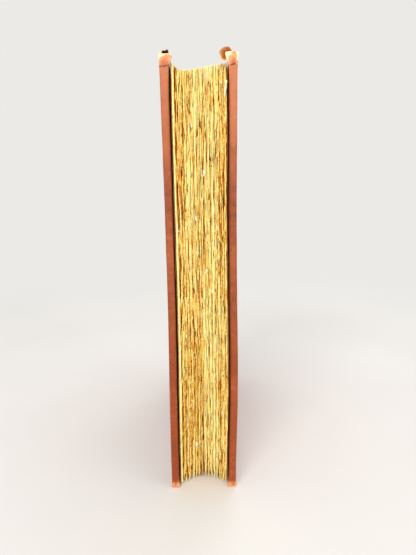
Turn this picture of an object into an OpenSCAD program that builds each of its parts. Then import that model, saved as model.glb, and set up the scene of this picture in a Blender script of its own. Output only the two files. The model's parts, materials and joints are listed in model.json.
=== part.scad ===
// An antique leather book, standing on its tail.
// X runs through the thickness, -Y is the fore-edge and +Y the spine. The origin is under the
// middle of the book, on the surface that it stands on. The front board is the one at -X.

/* [Boards] */
// Height of a board with its leather
board_h = 240; // [200:1:280]
// Depth of the book from the fore-edge to the raised bands
book_d = 160; // [130:1:190]
// Thickness of a bare pasteboard
board_t = 2.3; // [2:0.1:3.6]
// Radius of the worn board corners, seen from the side
corner_r = 2.5; // [2:0.5:12]

/* [Leather] */
// Thickness of the covering leather
leather_t = 0.8; // [0.6:0.1:1.2]
// Width of the leather turned in over the board edges
turn_in = 15; // [10:0.5:25]
// Radius of the rubbed arrises of a cover
arris_r = 1.1; // [0.5:0.1:1.5]
// How far a bruised corner spreads out of its cover
swell_out = 1; // [0.3:0.1:1.4]
// How far a bruised corner spreads in front of the leaves
swell_in = 2.1; // [0.5:0.1:2.4]
// Reach of a bruise from the fore-edge
swell_reach = 9; // [6:0.5:16]
// Height of a bruise at the head
head_bruise = 8; // [4:0.5:12]
// Height of a bruise at the tail
tail_bruise = 4; // [2.5:0.5:8]

/* [Torn leather] */
// Curl radius of the tongue lifted from the front board's head
tongue_r = 2; // [1.4:0.1:3]
// Width of that tongue
tongue_w = 3.4; // [2:0.1:4]
// Angle that the tongue curls through
tongue_angle = 140; // [90:5:170]
// Curl radius of the strip peeled from the back board's head
strip_r = 2.1; // [1.6:0.1:3.4]
// Width of that strip along the board
strip_w = 5; // [3:0.5:9]
// Angle that the strip curls through
strip_angle = 230; // [120:5:240]

/* [Leaves] */
// Thickness of all the leaves, pressed
leaves_t = 28.6; // [20:0.2:36]
// Number of sewn gatherings
gatherings = 16; // [10:1:20]
// How far the boards stand past the foremost leaves
fore_square = 2.6; // [2:0.2:8]
// Depth of the hollow in the fore-edge
fore_hollow = 6; // [3:0.2:9]
// How far the boards stand past the leaves at the spine's head and tail
end_square = 3.6; // [3.2:0.1:6]
// How far the leaves have sunk at the fore-edge
leaf_sag = 2.6; // [0:0.1:3]
// Depth of the worn hollow in the head edge
head_dip = 1.8; // [0:0.1:4]
// Depth of the untrimmed fore-edge, from its furthest to its deepest points
deckle = 1.8; // [0.4:0.2:2.8]
// Roughness of the tail
tail_rough = 0.5; // [0.1:0.1:0.8]
// Unevenness of the head from leaf to leaf
head_rough = 0.3; // [0:0.1:0.5]
// How far the middle of a gathering creeps out past its outer leaves
creep = 1.1; // [0:0.1:2]
// Gap between the leaves and each pastedown
page_gap = 0.85; // [0.4:0.05:1.5]
// Thickness of a pastedown
paste_t = 0.25; // [0.15:0.05:0.5]
// Bare border of turned-in leather round a pastedown
paste_edge = 4; // [2:0.5:8]

/* [Spine] */
// Rise of the rounded back
spine_round = 6.5; // [4:0.5:9]
// Depth of the shoulder that a board rests against
shoulder = 3.6; // [3:0.1:6]
// Radius of the shoulder's tip
shoulder_r = 3; // [2:0.2:4]
// Thickness of the paper lining
lining_t = 0.3; // [0.2:0.05:0.6]
// Number of sewing supports, which are also the raised bands
bands = 5; // [3:1:5]
// Height of the lowest band
band_low = 46; // [30:1:60]
// Height left above the highest band
head_panel = 44; // [30:1:60]
// Diameter of a sewing support
cord_d = 2.4; // [1.8:0.1:3]
// Diameter of a headband
headband_d = 2.4; // [1.6:0.1:2.4]
// Width of the leather cap over a headband
cap_w = 3.6; // [2.5:0.1:5]

/* [Cord slips] */
// Length of a slip laced into a board
slip_l = 24; // [12:1:35]
// Width of the frayed end of a slip
slip_w = 7; // [4:0.5:12]
// Thickness of a slip pressed flat
slip_t = 1.2; // [0.6:0.1:1.6]

/* [Clearances] */
// Gap at a joint between a cover and the spine
joint_gap = 0.3; // [0.2:0.05:0.6]
// Play of a sewing support under the leather
cord_play = 0.1; // [0.05:0.05:0.2]
// Play of a slip in its channel, and of an infill in its window
lay_play = 0.1; // [0.05:0.05:0.3]

/* [Hidden] */
$fn = 48;

leather_color = "#9a5236";
paper_color = "#ecca78";
card_color = "#a98a5e";
hemp_color = "#c9b48a";
silk_color = "#b9a27a";

// Thickness of a cover without its pastedown: leather, board, and leather turned in
cover_t = 2 * leather_t + board_t;
half_t = leaves_t / 2 + page_gap + paste_t + cover_t;
fore_y = -book_d / 2;

// The rounded back of the leaves is an arc about back_cy
shoulder_w = half_t - leather_t;
back_y = book_d / 2 - cord_d - cord_play - leather_t;
back_r = (pow(shoulder_w, 2) + pow(spine_round, 2)) / (2 * spine_round);
back_cy = back_y - back_r;
hinge_y = back_y - spine_round - shoulder;
cover_back = hinge_y - joint_gap / 2;
spine_base = hinge_y + joint_gap / 2;

// A support lies on the back and sinks into the shoulder on its way to the board
route_r = back_r + cord_d / 2;
route_w = shoulder_w - cord_d / 2;
route_a = acos(route_w / route_r);
band_tip_r = 2 * shoulder_r;

// A bruise spreads inwards only in front of the leaves
bruise_in = 0.75 * fore_square;
fade_steps = 8;

head_z = board_h - end_square;
tail_z = end_square;
arc_steps = 24;
tip_steps = 6;

// Three layers of leaves for each gathering: the middle one creeps out of the fold
layers = 3;
layer_creep = [1, 0, 0.55];
layer_t = leaves_t / (gatherings * layers);
deckle_rows = 18;
tail_rows = 5;
dip_x = -0.5;
dip_w = 0.34;

function arc(cx, cy, r, from, to, n) =
    [for (i = [0:n]) let (a = from + (to - from) * i / n) [cx + r * cos(a), cy + r * sin(a)]];

function backwards(list) = [for (i = [len(list) - 1:-1:0]) list[i]];

// Height over back_cy of the centre of a shoulder's tip, in a back of radius r and half width w
function tip_rise(r, w, c) = sqrt(pow(r - c, 2) - pow(w - c, 2));

function tip_angle(r, w, c) = atan2(tip_rise(r, w, c), w - c);

// The line over the back, from one joint to the other
function back_line(r, w, c, base) =
    let (rise = tip_rise(r, w, c), a = tip_angle(r, w, c))
    concat(
        [[w, base]],
        arc(w - c, back_cy + rise, c, 0, a, tip_steps),
        arc(0, back_cy, r, a, 180 - a, arc_steps),
        arc(c - w, back_cy + rise, c, 180 - a, 180, tip_steps),
        [[-w, base]]
    );

band_pitch = (board_h - band_low - head_panel) / (bands - 1);
function band_z(k) = band_low + k * band_pitch;

// The hollow fore-edge and the worn head, as fractions of the block's half thickness
function hollow(u) = fore_square + fore_hollow * (1 - u * u);
function dip(u) = head_dip * exp(-pow((u - dip_x) / dip_w, 2));

// Outline of one layer of leaves in Y and Z, with an untrimmed fore-edge and tail
function layer_line(i) =
    let (
        u = (2 * i + 1) / (gatherings * layers) - 1,
        rough = rands(-1, 1, deckle_rows + tail_rows + 2, i + 7),
        edge = fore_y + hollow(u) + creep * layer_creep[i % layers],
        top = head_z - dip(u) + head_rough * rough[deckle_rows + tail_rows + 1],
        low = tail_z - leaf_sag
    )
    concat(
        [for (j = [0:deckle_rows])
            [edge + deckle * (2 + rough[j] + sin(37 * i + 60 * j)) / 4,
             low + (top - low) * j / deckle_rows]],
        [[spine_base, head_z], [spine_base, tail_z]],
        [for (j = [1:tail_rows - 1])
            let (t = j / tail_rows)
            [spine_base + (edge + deckle - spine_base) * t,
             tail_z - leaf_sag * t + tail_rough * rough[deckle_rows + j]]]
    );

module layer(i) {
    translate([i * layer_t - leaves_t / 2, 0, 0])
        rotate([90, 0, 90])
            linear_extrude(layer_t)
                polygon(layer_line(i));
}

// An arc of round cord on the back, from angle from to its mirror image
module cord_arc(z, radius, r, from) {
    translate([0, back_cy, z])
        rotate([0, 0, from])
            rotate_extrude(angle = 180 - 2 * from)
                translate([radius, 0])
                    circle(r);
}

// A support's way over the back and down each shoulder to the joint
module cord_route(z, r) {
    cord_arc(z, route_r, r, route_a);
    for (side = [-1, 1])
        translate([side * route_w, spine_base, z])
            rotate([-90, 0, 0])
                cylinder(h = back_cy + route_r * sin(route_a) - spine_base, r = r);
}

module text_block() {
    color(paper_color)
        union() {
            for (i = [0:gatherings * layers - 1])
                layer(i);
            difference() {
                translate([0, 0, tail_z])
                    linear_extrude(head_z - tail_z)
                        polygon(back_line(back_r, shoulder_w, shoulder_r, spine_base));
                for (k = [0:bands - 1])
                    cord_route(band_z(k), cord_d / 2 + cord_play);
            }
        }
}

// The middle of that line, without its first and last step
function back_middle(r) =
    let (a = tip_angle(r, shoulder_w, shoulder_r), step = (180 - 2 * a) / arc_steps)
    arc(0, back_cy, r, a + step, 180 - a - step, arc_steps - 2);

// Paper glued on the back between the supports
module spine_lining() {
    reach = cord_d / 2 + cord_play;
    color(paper_color)
        for (k = [0:bands]) {
            low = k == 0 ? tail_z : band_z(k - 1) + reach;
            high = k == bands ? head_z : band_z(k) - reach;
            translate([0, 0, low])
                linear_extrude(high - low)
                    polygon(concat(
                        back_middle(back_r + lining_t),
                        backwards(back_middle(back_r))
                    ));
        }
}

module sewing_support(k) {
    color(hemp_color)
        cord_route(band_z(k), cord_d / 2);
}

// A silk band on the end of the leaves, along the back
module end_band(z) {
    r = back_r - headband_d / 2 - lining_t;
    color(silk_color)
        cord_arc(z, r, headband_d / 2, acos((leaves_t - headband_d) / 2 / r));
}

module headband() {
    end_band(head_z + headband_d / 2);
}

module tailband() {
    end_band(tail_z - headband_d / 2);
}

// The middle of the hide: over the back and its bands, and turned over both headbands
module spine_leather() {
    inner_r = back_r + lining_t;
    band_r = cord_d / 2 + cord_play + leather_t;
    color(leather_color)
        difference() {
            union() {
                linear_extrude(board_h)
                    polygon(back_line(inner_r + leather_t, half_t, shoulder_r + leather_t, spine_base));
                for (k = [0:bands - 1])
                    intersection() {
                        cord_arc(band_z(k), route_r, band_r, route_a / 2);
                        translate([0, 0, band_z(k) - 2 * band_r])
                            linear_extrude(4 * band_r)
                                polygon(back_line(route_r + band_r + 1, half_t, band_tip_r, spine_base));
                    }
            }
            translate([0, 0, leather_t])
                linear_extrude(board_h - 2 * leather_t)
                    polygon(back_line(inner_r, shoulder_w, shoulder_r, spine_base - shoulder));
            translate([0, 0, -leather_t])
                linear_extrude(board_h + 2 * leather_t)
                    polygon(back_line(back_r - cap_w, shoulder_w, shoulder_r, spine_base - shoulder));
            for (k = [0:bands - 1])
                cord_route(band_z(k), cord_d / 2 + cord_play);
        }
}

// A board's outline in Y and Z, inset from the leather's, with worn corners at the fore-edge
module board_outline(inset) {
    r = corner_r - inset;
    polygon(concat(
        [[cover_back, inset], [cover_back, board_h - inset]],
        arc(fore_y + inset + r, board_h - inset - r, r, 90, 180, tip_steps),
        arc(fore_y + inset + r, inset + r, r, 180, 270, tip_steps)
    ));
}

// A plate of a cover at +X, between two distances from the middle of the book
module plate(from, to, inset) {
    translate([from, 0, 0])
        rotate([90, 0, 90])
            linear_extrude(to - from)
                board_outline(inset);
}

// The rectangle inside the turned-in leather
module window(from, to, play) {
    translate([from, fore_y + turn_in + play, turn_in + play])
        cube([to - from, cover_back - fore_y - turn_in - play, board_h - 2 * (turn_in + play)]);
}

// A flattened cord end, from the joint into the board's outer face
module slip(z, play) {
    w = cord_d / 2 + play;
    end = slip_w / 2 + play;
    l = slip_l + play;
    translate([shoulder_w - slip_t - play, 0, z])
        rotate([90, 0, 90])
            linear_extrude(slip_t + play)
                polygon(concat(
                    [[cover_back, -w], [cover_back, w]],
                    arc(cover_back - l + end, 0, end, 90, 270, 2 * tip_steps)
                ));
}

module cord_slips() {
    color(hemp_color)
        for (k = [0:bands - 1])
            slip(band_z(k), 0);
}

module board() {
    color(card_color)
        difference() {
            plate(shoulder_w - board_t, shoulder_w, leather_t);
            for (k = [0:bands - 1])
                slip(band_z(k), lay_play);
        }
}

module infill() {
    color(card_color)
        window(half_t - cover_t, half_t - cover_t + leather_t, lay_play);
}

module pastedown() {
    color(paper_color)
        translate([half_t - cover_t - paste_t, fore_y + paste_edge, paste_edge])
            cube([paste_t, cover_back - fore_y - paste_edge, board_h - 2 * paste_edge]);
}

// A cover's section with rubbed arrises, as thick as the cover and as long as asked
module rubbed(length) {
    r = arris_r;
    polygon(concat(
        arc(half_t - r, r, r, 270, 360, tip_steps),
        arc(half_t - r, length - r, r, 0, 90, tip_steps),
        arc(half_t - cover_t + r, length - r, r, 90, 180, tip_steps),
        arc(half_t - cover_t + r, r, r, 180, 270, tip_steps)
    ));
}

// Fades from 1 at t = 0 to 0 at t = 1
function fade(t) = (1 + cos(180 * t)) / 2;

// One slope of a flare: from the arris back to a face of the cover
function slope(face, rise, reach) =
    [for (i = [1:fade_steps]) let (t = i / fade_steps)
        [face + rise * fade(t), arris_r + (reach - arris_r) * t]];

// A cover's section where it is crushed: spread at the edge Y = 0, with rubbed arrises
module flare(reach_out, reach_in) {
    polygon(concat(
        arc(half_t + swell_out - arris_r, arris_r, arris_r, 270, 360, tip_steps),
        slope(half_t, swell_out, reach_out),
        [[half_t - cover_t, reach_out]],
        backwards(slope(half_t - cover_t, -swell_in, reach_in)),
        arc(half_t - cover_t - swell_in + arris_r, arris_r, arris_r, 180, 270, tip_steps)
    ));
}

// The bruise at a fore-edge corner of the tail, of the height asked
module bruise(height) {
    intersection() {
        plate(half_t - cover_t - swell_in, half_t + swell_out, 0);
        translate([0, fore_y, 0])
            linear_extrude(board_h)
                flare(swell_reach, bruise_in);
        translate([0, book_d, 0])
            rotate([90, 0, 0])
                linear_extrude(2 * book_d)
                    flare(height, height - arris_r);
    }
}

// The leather of a cover: over the board and turned in on three sides
module cover_leather() {
    difference() {
        union() {
            intersection() {
                plate(half_t - cover_t, half_t, 0);
                linear_extrude(board_h)
                    translate([0, fore_y])
                        rubbed(2 * book_d);
                translate([0, book_d, 0])
                    rotate([90, 0, 0])
                        linear_extrude(2 * book_d)
                            rubbed(board_h);
            }
            bruise(tail_bruise);
            translate([0, 0, board_h])
                mirror([0, 0, 1])
                    bruise(head_bruise);
        }
        plate(shoulder_w - board_t, shoulder_w, leather_t);
        window(half_t - 2 * cover_t, half_t - cover_t + 2 * leather_t, 0);
    }
}

// Leather that has come away and curls up from a board's head, about a line along X
module tongue() {
    translate([half_t - cover_t / 2 - tongue_w / 2, fore_y + corner_r + tongue_r, board_h - leather_t])
        rotate([90, 0, 90])
            rotate_extrude(angle = tongue_angle)
                translate([tongue_r, 0])
                    square([leather_t, tongue_w]);
}

// A strip peeled off a board's head, curling in over the leaves about a line along Y
module strip() {
    translate([half_t - cover_t + leather_t - strip_r, fore_y + corner_r + strip_w, board_h]) {
        rotate([90, 0, 0])
            rotate_extrude(angle = strip_angle)
                translate([strip_r, 0])
                    square([leather_t, strip_w]);
        translate([strip_r, -strip_w, -leather_t])
            cube([leather_t, strip_w, leather_t]);
    }
}

module front_board() {
    mirror([1, 0, 0])
        board();
}

module front_leather() {
    color(leather_color)
        mirror([1, 0, 0])
            union() {
                cover_leather();
                tongue();
            }
}

module front_infill() {
    mirror([1, 0, 0])
        infill();
}

module front_pastedown() {
    mirror([1, 0, 0])
        pastedown();
}

module front_cord_slips() {
    mirror([1, 0, 0])
        cord_slips();
}

module back_board() {
    board();
}

module back_leather() {
    color(leather_color)
        union() {
            cover_leather();
            strip();
        }
}

module back_infill() {
    infill();
}

module back_pastedown() {
    pastedown();
}

module back_cord_slips() {
    cord_slips();
}

text_block();
spine_lining();
headband();
tailband();
spine_leather();
for (k = [0:bands - 1])
    sewing_support(k);
front_board();
front_leather();
front_infill();
front_pastedown();
front_cord_slips();
back_board();
back_leather();
back_infill();
back_pastedown();
back_cord_slips();
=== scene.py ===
# %% [markdown]
# # An old leather book, standing on its tail
# The book is seen from its fore-edge, the side that opens. Two leather covers hold a thick block
# of leaves whose edges were never trimmed, so they stand in and out like the teeth of a comb.
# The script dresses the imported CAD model: each visible CAD piece is either given a material here
# or replaced by a finer piece in the same place, which then moves with the same body.

# %% Load the frame and keep its box
import json
import math

import bmesh
import bpy
import numpy as np
from mathutils import Matrix, Vector


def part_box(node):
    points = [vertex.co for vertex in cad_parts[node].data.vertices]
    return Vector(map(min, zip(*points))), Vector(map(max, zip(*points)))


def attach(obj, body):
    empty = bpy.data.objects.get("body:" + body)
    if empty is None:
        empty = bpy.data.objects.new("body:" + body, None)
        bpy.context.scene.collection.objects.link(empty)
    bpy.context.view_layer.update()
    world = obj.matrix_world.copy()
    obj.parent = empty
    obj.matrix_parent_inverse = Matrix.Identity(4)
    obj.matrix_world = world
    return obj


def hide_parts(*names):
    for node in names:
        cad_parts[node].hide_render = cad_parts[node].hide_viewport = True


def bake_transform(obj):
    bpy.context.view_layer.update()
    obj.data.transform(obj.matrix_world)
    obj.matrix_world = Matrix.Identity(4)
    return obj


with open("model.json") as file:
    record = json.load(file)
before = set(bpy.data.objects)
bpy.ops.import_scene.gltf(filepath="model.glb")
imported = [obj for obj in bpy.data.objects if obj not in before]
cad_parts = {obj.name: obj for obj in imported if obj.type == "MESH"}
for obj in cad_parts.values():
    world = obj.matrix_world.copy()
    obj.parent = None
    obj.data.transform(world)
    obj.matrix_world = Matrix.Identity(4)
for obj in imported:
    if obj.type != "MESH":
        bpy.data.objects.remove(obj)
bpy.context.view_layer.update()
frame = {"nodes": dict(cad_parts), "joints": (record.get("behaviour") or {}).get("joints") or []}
MM = 0.001
SIDES = {"front": -1, "back": 1}  # each cover, and the sign of its X

# %% [markdown]
# ## Sizes that the pieces share
# Nothing is typed twice: the covers, leaves and spine take their places from the boxes of the
# CAD nodes. They are kept in millimetres, because a bookbinder thinks in them, and each mesh is
# brought down to metres once, when it is made.

# %% Read the sizes off the CAD nodes


def add_object(name, data):
    made = bpy.data.objects.new(name, data)
    bpy.context.scene.collection.objects.link(made)
    return made


def box_mm(node):
    low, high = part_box(node)
    return np.array(low) / MM, np.array(high) / MM


spine_low, spine_high = box_mm("spine_leather")
board_low, board_high = box_mm("back_board")
paste_low, paste_high = box_mm("back_pastedown")
headband_low, headband_high = box_mm("headband")
HALF_T = spine_high[0]
BOOK_H = spine_high[2]
LEATHER = HALF_T - board_high[0]
INNER_X = paste_high[0]
PASTE_X = paste_low[0]
FORE_Y = board_low[1] - LEATHER
COVER_BACK = board_high[1]
SPINE_BASE = spine_low[1]
HINGE_X, HINGE_Y = (1000 * c for c in frame["joints"][1]["pos_m"][:2])
HEAD_Z = headband_low[2]
TAIL_Z = box_mm("tailband")[1][2]
BACK_Y = box_mm("text_block")[1][1]
BAND_Z = [np.mean(box_mm(f"sewing_support_{k}"), axis=0)[2] for k in range(1, 6)]
print(f"covers {HALF_T - INNER_X:.1f} mm thick, {BOOK_H:.0f} mm tall; bands at", np.round(BAND_Z))

# %% [markdown]
# ## The camera
# The photograph was taken by hand with a wide lens, a little above the middle of the book and
# about 21 cm from its fore-edge. These numbers were fitted to the outlines of the two covers. The
# frame is taller than wide, so the 36 mm sensor lies along its height of 555 pixels.

# %% Set up the camera
FRAME_H = 555
FOCAL_PIXELS = 400
SENSOR = 36
EYE = Vector((2.4, -293.6, 163.6)) * MM
pitch, yaw, roll = (math.radians(a) for a in (9.71, 0.27, -0.64))

look = Vector((math.sin(yaw) * math.cos(pitch), math.cos(yaw) * math.cos(pitch), -math.sin(pitch)))
side = Vector((math.cos(yaw), -math.sin(yaw), 0))
rise = side.cross(look)
cam_right = math.cos(roll) * side + math.sin(roll) * rise
cam_up = -math.sin(roll) * side + math.cos(roll) * rise

lens = bpy.data.cameras.new("fore_edge_camera")
lens.sensor_width = SENSOR
lens.lens = FOCAL_PIXELS / FRAME_H * SENSOR
lens.clip_start, lens.clip_end = 0.01, 50
camera = add_object("fore_edge_camera", lens)
turn = Matrix((cam_right, cam_up, -look)).transposed()
camera.matrix_world = Matrix.Translation(EYE) @ turn.to_4x4()
bpy.context.scene.camera = camera
print(f"lens {lens.lens:.1f} mm, {abs(EYE.y - FORE_Y * MM):.2f} m from the fore-edge")

# %% [markdown]
# ## Nodes without the clutter
# Materials and Geometry Nodes are both trees of small boxes. One helper adds a box, feeds its
# inputs and returns it. The other stands for a box's output, and a sum with it adds the boxes that
# work the sum out, so that a recipe reads like arithmetic.

# %% Two wiring helpers


class Num:
    """One output of a node. A sum with it adds the math nodes that work the sum out."""

    __array_ufunc__ = None  # a numpy number on the left leaves the sum to this class

    def __init__(self, wires, socket):
        self.wires, self.socket = wires, socket

    def __add__(self, other):
        return self.wires.math("ADD", self, other)

    def __radd__(self, other):
        return self.wires.math("ADD", other, self)

    def __sub__(self, other):
        return self.wires.math("SUBTRACT", self, other)

    def __rsub__(self, other):
        return self.wires.math("SUBTRACT", other, self)

    def __mul__(self, other):
        return self.wires.math("MULTIPLY", self, other)

    def __truediv__(self, other):
        return self.wires.math("DIVIDE", self, other)

    def __pow__(self, other):
        return self.wires.math("POWER", self, other)

    def __abs__(self):
        return self.wires.math("ABSOLUTE", self)


class Wires:
    """Adds nodes to one tree."""

    def __init__(self, tree):
        self.tree = tree

    def feed(self, socket, value):
        if isinstance(value, Num):
            value = value.socket
        if isinstance(value, bpy.types.NodeSocket):
            self.tree.links.new(value, socket)
        elif value is not None:
            socket.default_value = value

    def add(self, kind, *plugs, **settings):
        node = self.tree.nodes.new(kind)
        for key, value in settings.items():
            setattr(node, key, value)
        for socket, value in zip(node.inputs, plugs):
            self.feed(socket, value)
        return node

    def put(self, kind, plugs, **settings):
        """Adds a node whose inputs are fed by name."""
        node = self.add(kind, **settings)
        for label, value in plugs.items():
            self.feed(node.inputs[label], value)
        return node

    def geo(self, kind, plugs, **settings):
        """Adds a geometry node and returns its first output."""
        return self.num(self.put("GeometryNode" + kind, plugs, **settings).outputs[0])

    def num(self, socket):
        return Num(self, socket)

    def math(self, operation, *values, clamp=False):
        node = self.add("ShaderNodeMath", *values, operation=operation, use_clamp=clamp)
        return self.num(node.outputs[0])

    def split(self, place):
        return [self.num(part) for part in self.add("ShaderNodeSeparateXYZ", place).outputs]

    def join(self, x, y, z):
        return self.num(self.add("ShaderNodeCombineXYZ", x, y, z).outputs[0])

    def stretch(self, place, factors):
        return self.add("ShaderNodeVectorMath", place, factors, operation="MULTIPLY").outputs[0]

    def noise(self, place, scale=1.0, detail=1.0, rough=0.5):
        plugs = {"Vector": place, "Scale": scale, "Detail": detail, "Roughness": rough}
        return self.num(self.put("ShaderNodeTexNoise", plugs).outputs[0])

    def chance(self, number):
        """A value from 0 to 1 that is fixed by the number alone."""
        node = self.put("ShaderNodeTexWhiteNoise", {"W": number}, noise_dimensions="1D")
        return self.num(node.outputs["Value"])

    def span(self, value, low, high, to_low=0.0, to_high=1.0, how="SMOOTHSTEP"):
        """Turns low to high into to_low to to_high, and stays level outside."""
        plugs = (value, low, high, to_low, to_high)
        return self.num(self.add("ShaderNodeMapRange", *plugs, interpolation_type=how).outputs[0])

    def ramp(self, value, *stops):
        node = self.add("ShaderNodeValToRGB", value)
        elements = node.color_ramp.elements
        while len(elements) < len(stops):
            elements.new(0.5)
        for element, (place, colour) in zip(elements, stops):
            element.position, element.color = place, colour
        return node.outputs[0]

    def mix(self, share, first, second):
        """Colour mix. The inputs go by number, since the node has one set for each data type."""
        node = self.add("ShaderNodeMix", data_type="RGBA")
        for slot, value in ((0, share), (6, first), (7, second)):
            self.feed(node.inputs[slot], value)
        return node.outputs[2]


def srgb(red, green, blue):
    """A colour as a paint chart gives it, 0 to 255, turned into the light values that nodes use."""
    chart = [c / 255 for c in (red, green, blue)]
    light = [c / 12.92 if c <= 0.04045 else ((c + 0.055) / 1.055) ** 2.4 for c in chart]
    return (*light, 1.0)


# %% [markdown]
# ## Leather
# Old calf is a red-brown skin with fine pores. On the covers its colour is painted lighter towards
# the head, as painted light from above, and darker towards the tail, as painted shade. Where it is
# handled the surface rubs off and the pale fibres show. The mesh carries that wear as an attribute,
# so the finish follows the real edges and corners, and noise only breaks up its border. The grain
# itself is bump, because it is finer than the mesh.

# %% The leather's finish


def new_material(name):
    material = bpy.data.materials.new(name)
    material.use_nodes = True
    tree = material.node_tree
    return material, Wires(tree), tree.nodes["Principled BSDF"]


def object_place(w):
    return w.add("ShaderNodeTexCoord").outputs["Object"]


def attribute(w, name):
    return w.num(w.add("ShaderNodeAttribute", attribute_name=name).outputs["Fac"])


def dress(w, shader, colour, rough, shine, relief=None):
    """Feeds the shader. A relief is (height, distance in metres, strength) for the bump."""
    plugs = {"Base Color": colour, "Roughness": rough, "Specular IOR Level": shine}
    if relief:
        height, distance, strength = relief
        bump = {"Strength": strength, "Distance": distance, "Height": height}
        plugs["Normal"] = w.put("ShaderNodeBump", bump).outputs[0]
    for label, value in plugs.items():
        w.feed(shader.inputs[label], value)


def leather_material(name, dark, middle, pale, worn_low, worn_mid, worn_high, painted_light_by_height=False):
    material, w, shader = new_material(name)
    place = object_place(w)
    # The skin: blotches, mottles and the fine ribs of the grain.
    blotch = w.noise(place, 30, 4, 0.6)
    mottle = w.noise(place, 260, 4, 0.65)
    ribs = w.noise(w.stretch(place, (0.35, 0.35, 1.4)), 900, 3, 0.6)
    body = w.ramp(blotch * 0.55 + mottle * 0.45, (0.34, dark), (0.5, middle), (0.66, pale))
    if painted_light_by_height:
        # Painted light: paler towards the head, most of all on the fore-edge. Painted shade: darker
        # towards the tail.
        _, from_spine, height = w.split(place)
        at_fore = w.span(from_spine, (FORE_Y + 0.4) * MM, (FORE_Y + 5) * MM, 0.92, 0.22)
        painted_light = w.span(height, 0.155, 0.25) * at_fore
        body = w.mix(painted_light, body, w.mix(0.6, body, srgb(238, 150, 108)))
        body = w.mix(w.span(height, 0.02, 0.16, 0.85, 0.0), body, srgb(152, 64, 22))
    # Marks of use: (where, how strong, colour), one over the other.
    crease = w.span(abs(w.noise(place, 62, 3, 0.55) - 0.5), 0.0, 0.012, 1.0, 0.0)
    scuff = w.noise(w.stretch(place, (1, 1, 0.35)), 420, 5, 0.7)
    for where, amount, colour in (
        (w.span(ribs, 0.42, 0.72), 0.3, pale),
        (w.span(w.noise(place, 55, 3, 0.6), 0.5, 0.72), 0.45, dark),
        (crease * w.span(w.noise(place, 24, 2), 0.5, 0.66), 0.25, worn_low),
        (w.span(scuff, 0.62, 0.74), 0.35, worn_low),
    ):
        body = w.mix(where * amount, body, colour)
    # Where the mesh says "worn", the surface is rubbed through to the fibres, with a ragged border.
    ragged = w.noise(place, 900, 4, 0.7) * 0.9 - 0.45
    near_wear = w.math("MINIMUM", attribute(w, "worn") * 3, 1.0)
    worn = w.math("ADD", attribute(w, "worn"), ragged * near_wear, clamp=True)
    rubbed = w.ramp(
        worn, (0.35, worn_low), (0.52, worn_mid), (0.7, worn_mid), (0.86, worn_high)
    )
    colour = w.mix(w.span(worn, 0.18, 0.5), body, rubbed)
    colour = w.mix(attribute(w, "crack"), colour, srgb(44, 14, 8))
    rough = w.math("ADD", mottle * 0.3, 0.5, clamp=True)
    pores = w.put("ShaderNodeTexVoronoi", {"Vector": place, "Scale": 1150}, feature="SMOOTH_F1")
    grain = w.num(pores.outputs[0]) * 0.6 + ribs * 0.7 + mottle * 1.2
    dress(w, shader, colour, rough, 0.28, (grain, 0.00022, 0.8))
    return material


leather = leather_material(
    "calf_cover",
    dark=srgb(122, 56, 30),
    middle=srgb(156, 78, 43),
    pale=srgb(182, 100, 59),
    worn_low=srgb(236, 154, 82),
    worn_mid=srgb(234, 164, 122),
    worn_high=srgb(255, 240, 184),
    # painted light towards the head and painted shade towards the tail
    painted_light_by_height=True,
)
torn_leather = leather_material(
    "calf_torn_flesh_side",
    dark=srgb(150, 78, 36),
    middle=srgb(196, 122, 66),
    pale=srgb(226, 164, 104),
    worn_low=srgb(226, 168, 110),
    worn_mid=srgb(232, 182, 126),
    worn_high=srgb(240, 204, 150),
)
# Near-black leather for the torn tongue at the head.
dark_leather = leather_material(
    "calf_torn_near_black",
    dark=srgb(30, 14, 10),
    middle=srgb(44, 22, 15),
    pale=srgb(66, 36, 24),
    worn_low=srgb(150, 96, 60),
    worn_mid=srgb(180, 126, 80),
    worn_high=srgb(214, 160, 104),
)
print("leather finishes:", leather.name, torn_leather.name, dark_leather.name)

# %% [markdown]
# ## Paper
# The leaves are rag paper that has gone straw yellow. At an untrimmed edge the light catches the
# leaves that stand proud, while the ones that lie deeper are browned by dust and age and sit in
# shade.
# So the edge's colour reads how proud each point is, a number that Geometry Nodes leaves on the
# mesh, and paints the deeper points and the sides of the leaves browner: partly real browning and
# partly painted shade of the slits. Noise that is drawn out along the height adds lines and zones,
# as bundles of leaves age alike. Endpapers are calmer: one sheet, browned along its borders by the
# leather, with a darker stain at the very rim; on the pastedowns that darker border is partly
# painted shade of the gap inside the cover.

# %% The finish of the leaf edges
# Zones across the block, in mm: (middle, half width, width of its fading border, amount)
ZONES = [(-7.6, 2.4, 2.4, -0.07), (7.4, 1.0, 0.8, 0.09), (12.0, 1.0, 1.5, -0.04)]
# Lines along the height: (stretch of the noise in X, Y and Z, detail, roughness, amount)
STREAK = (2600, 70, 90), 3, 0.6, 0.85
FLECK = (1500, 200, 850), 4, 0.75, 1.55
LINE = (2100, 40, 7), 1, 0.5, 0.75
DRIFT = (420, 30, 9), 2, 0.5, 0.8
BUNDLE = (190, 20, 5), 1, 0.5, 0.3


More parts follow.
